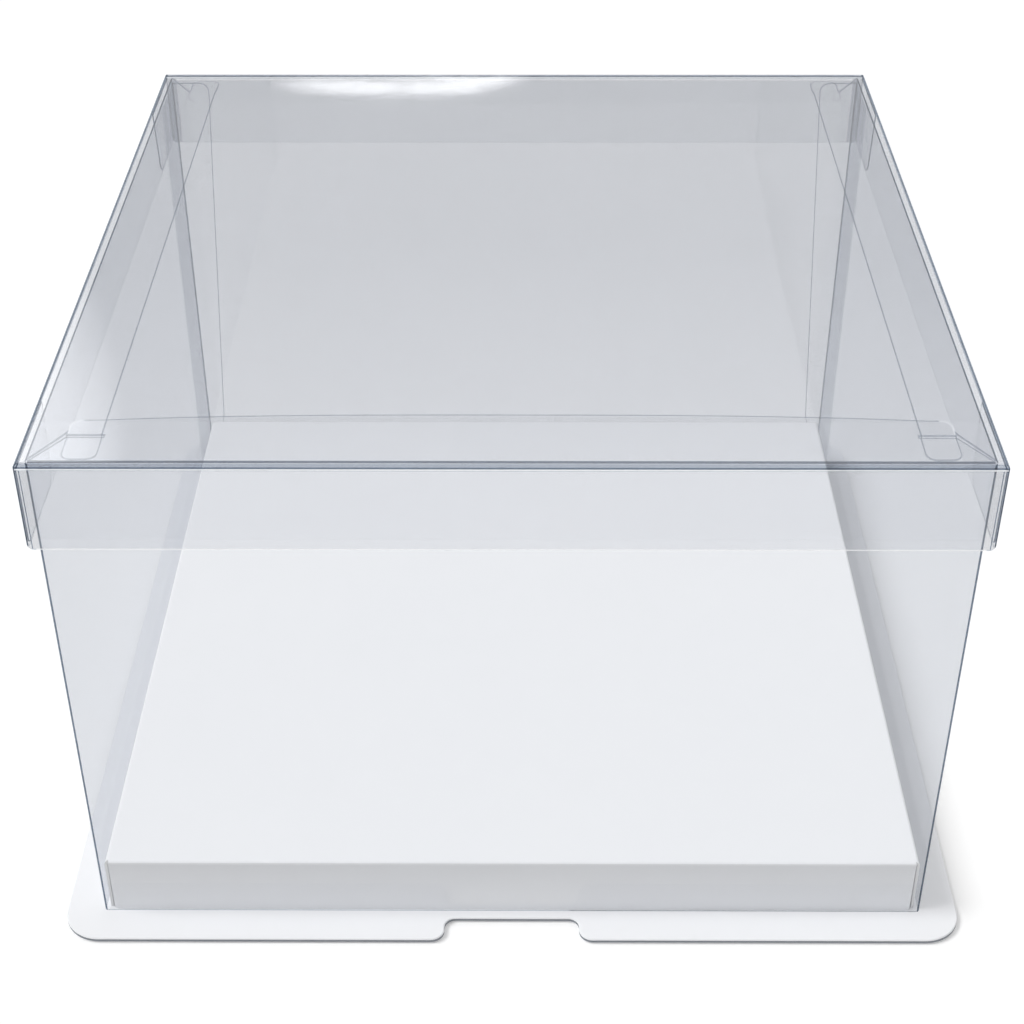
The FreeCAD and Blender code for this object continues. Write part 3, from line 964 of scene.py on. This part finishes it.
def tray_corner_tab(end, side):
    """Card turned in from a side wall, seen in the narrow gap beside the front or back wall."""
    floor_gap = CARD + CARD_GAP
    bottom = BOARD_TOP + floor_gap
    top = TRAY_TOP - floor_gap
    free_end = [(CORNER_TAB, bottom, WALL_RADIUS), (CORNER_TAB, top, WALL_RADIUS)]
    corners = [(0, bottom, 0)] + free_end + [(0, top, 0)]
    depth = TRAY_HALF.y - CARD * 1.5 - CARD_GAP
    origin = SIDES[side] * (TRAY_HALF.x - CARD) + SIDES[end] * depth
    lay = plain(origin, SIDES[side] * -1, UP)
    name = f"tray_{end}_{side}_corner_tab_card"
    piece = sheet_piece(name, rounded(corners), lay, CARD, "card", "card_edge")
    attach(piece, "base")


def dress(node, finish):
    """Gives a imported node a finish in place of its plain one."""
    for slot in node.material_slots:
        slot.material = FINISHES[finish]


def hidden_card():
    """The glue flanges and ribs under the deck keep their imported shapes."""
    for side in SIDES:
        dress(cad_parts[f"tray_{side}_flange"], "card")
    for way in ("across", "along"):
        dress(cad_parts[f"deck_rib_{way}"], "rib")


def straight_ray(nodes):
    """1 where the camera looks, straight or through glass."""
    straight = nodes.node("ShaderNodeLightPath", out="Is Camera Ray")
    return straight.most(nodes.node("ShaderNodeLightPath", out="Is Transmission Ray"))


def mirrored_ray(nodes):
    """1 where the camera looks in a mirror."""
    return nodes.node("ShaderNodeLightPath", out="Is Glossy Ray")


def floor():
    """A wide white floor that keeps the box's soft shadow."""
    material, nodes = new_finish("studio_floor")
    bounced = nodes.node("ShaderNodeBsdfDiffuse", None, {"Color": (FLOOR_BOUNCE,) * 3 + (1,)})
    shaded = nodes.node("ShaderNodeBsdfDiffuse", None, {"Color": (FLOOR_SEEN,) * 3 + (1,)})
    white = nodes.node("ShaderNodeEmission", None, {"Color": WHITE})
    cloud = nodes.noise(3.0)
    seen = nodes.mixed(FLOOR_SHADE + FLOOR_CLOUD * (cloud - 0.5), white, shaded)
    nodes.surface(nodes.mixed(straight_ray(nodes).most(mirrored_ray(nodes)), bounced, seen))
    mesh = bpy.data.meshes.new("studio_floor")
    outline = oblong(-FLOOR_HALF, FLOOR_HALF, -FLOOR_HALF, FLOOR_HALF)
    mesh.from_pydata([(x, y, -FLOOR_GAP) for x, y in outline], [], [tuple(range(len(outline)))])
    mesh.materials.append(material)
    placed("studio_floor", mesh)


def sky_glow(nodes, way, middle_x, middle_z, lowest_z, half_width, half_height, crispness, brightness):
    """A soft bright patch in the sky behind the box, which the lid mirrors."""
    x, y, z = (nodes.node("ShaderNodeSeparateXYZ", None, {0: way}, out=axis) for axis in "XYZ")
    off_middle = ((x - middle_x) / half_width) ** 2 + ((z - middle_z) / half_height) ** 2
    patch = (crispness * (1 - off_middle)).most(0.0).least(1.0)
    return brightness * patch * y.above(0.0) * z.above(lowest_z)


def sky():
    """Even studio light, strongest overhead, what the sheets mirror of it, and a white background."""
    world = bpy.data.worlds.new("studio")
    bpy.context.scene.world = world
    world.use_nodes = True
    nodes = Nodes(world.node_tree)
    way = nodes.node("ShaderNodeTexCoord", out="Generated")
    height = nodes.node("ShaderNodeSeparateXYZ", None, {0: way}, out="Z")
    stops = [(place, (level, level, level, 1)) for place, level in SKY_STOPS]
    level = nodes.node("ShaderNodeValToRGB", {"stops": stops}, {0: height})
    for glow in (LENS_GLOW, CORNER_GLOW):
        level = level + sky_glow(nodes, way, **glow)
    light = SKY_LIGHT + SKY_OVERHEAD * height.most(0.0)
    lit = nodes.node("ShaderNodeBackground", None, {"Color": light})
    mirrored = nodes.node("ShaderNodeBackground", None, {"Color": level})
    white = nodes.node("ShaderNodeBackground", None, {"Color": WHITE})
    indirect = nodes.mixed(mirrored_ray(nodes), lit, mirrored)
    all_rays = nodes.mixed(straight_ray(nodes), indirect, white)
    nodes.node("ShaderNodeOutputWorld", None, {"Surface": all_rays})


def key_light():
    """Soft light from above on the left."""
    lamp = bpy.data.lights.new("key_light", "SUN")
    lamp.energy = KEY_LEVEL
    lamp.angle = KEY_SPREAD
    placed("key_light", lamp).rotation_euler = KEY_FROM.to_track_quat("Z", "Y").to_euler()


def camera():
    """Stands where the photograph was taken from."""
    lens = bpy.data.cameras.new("photo_camera")
    lens.sensor_width = SENSOR
    lens.lens = FOCAL_PIXELS / PHOTO_PIXELS * SENSOR
    holder = placed("photo_camera", lens)
    holder.location = CAMERA_PLACE
    turn = Matrix.Rotation(CAMERA_YAW, 3, "Z") @ Matrix.Rotation(math.pi / 2 - CAMERA_PITCH, 3, "X")
    holder.rotation_euler = (turn @ Matrix.Rotation(-CAMERA_ROLL, 3, "Z")).to_euler()
    bpy.context.scene.camera = holder


def build():
    base_board()
    tray_deck()
    for side, out in SIDES.items():
        tray_wall(side, out)
        lid_skirt(side, out)
    hidden_card()
    sleeve_front_wall()
    sleeve_back_wall()
    for side in ("left", "right"):
        sleeve_side_wall(side)
        sleeve_side_flap(side)
        seam_back_leg(side)
        seam_side_leg(side)
        for end in ("front", "back"):
            lid_corner_tab(end, side)
            tray_corner_tab(end, side)
    for side in ("front", "back"):
        sleeve_end_flap(side)
    lid_panel()


build()
floor()
sky()
key_light()
camera()
scene = bpy.context.scene
scene.view_settings.view_transform = "Standard"
scene.cycles.transparent_max_bounces = 64
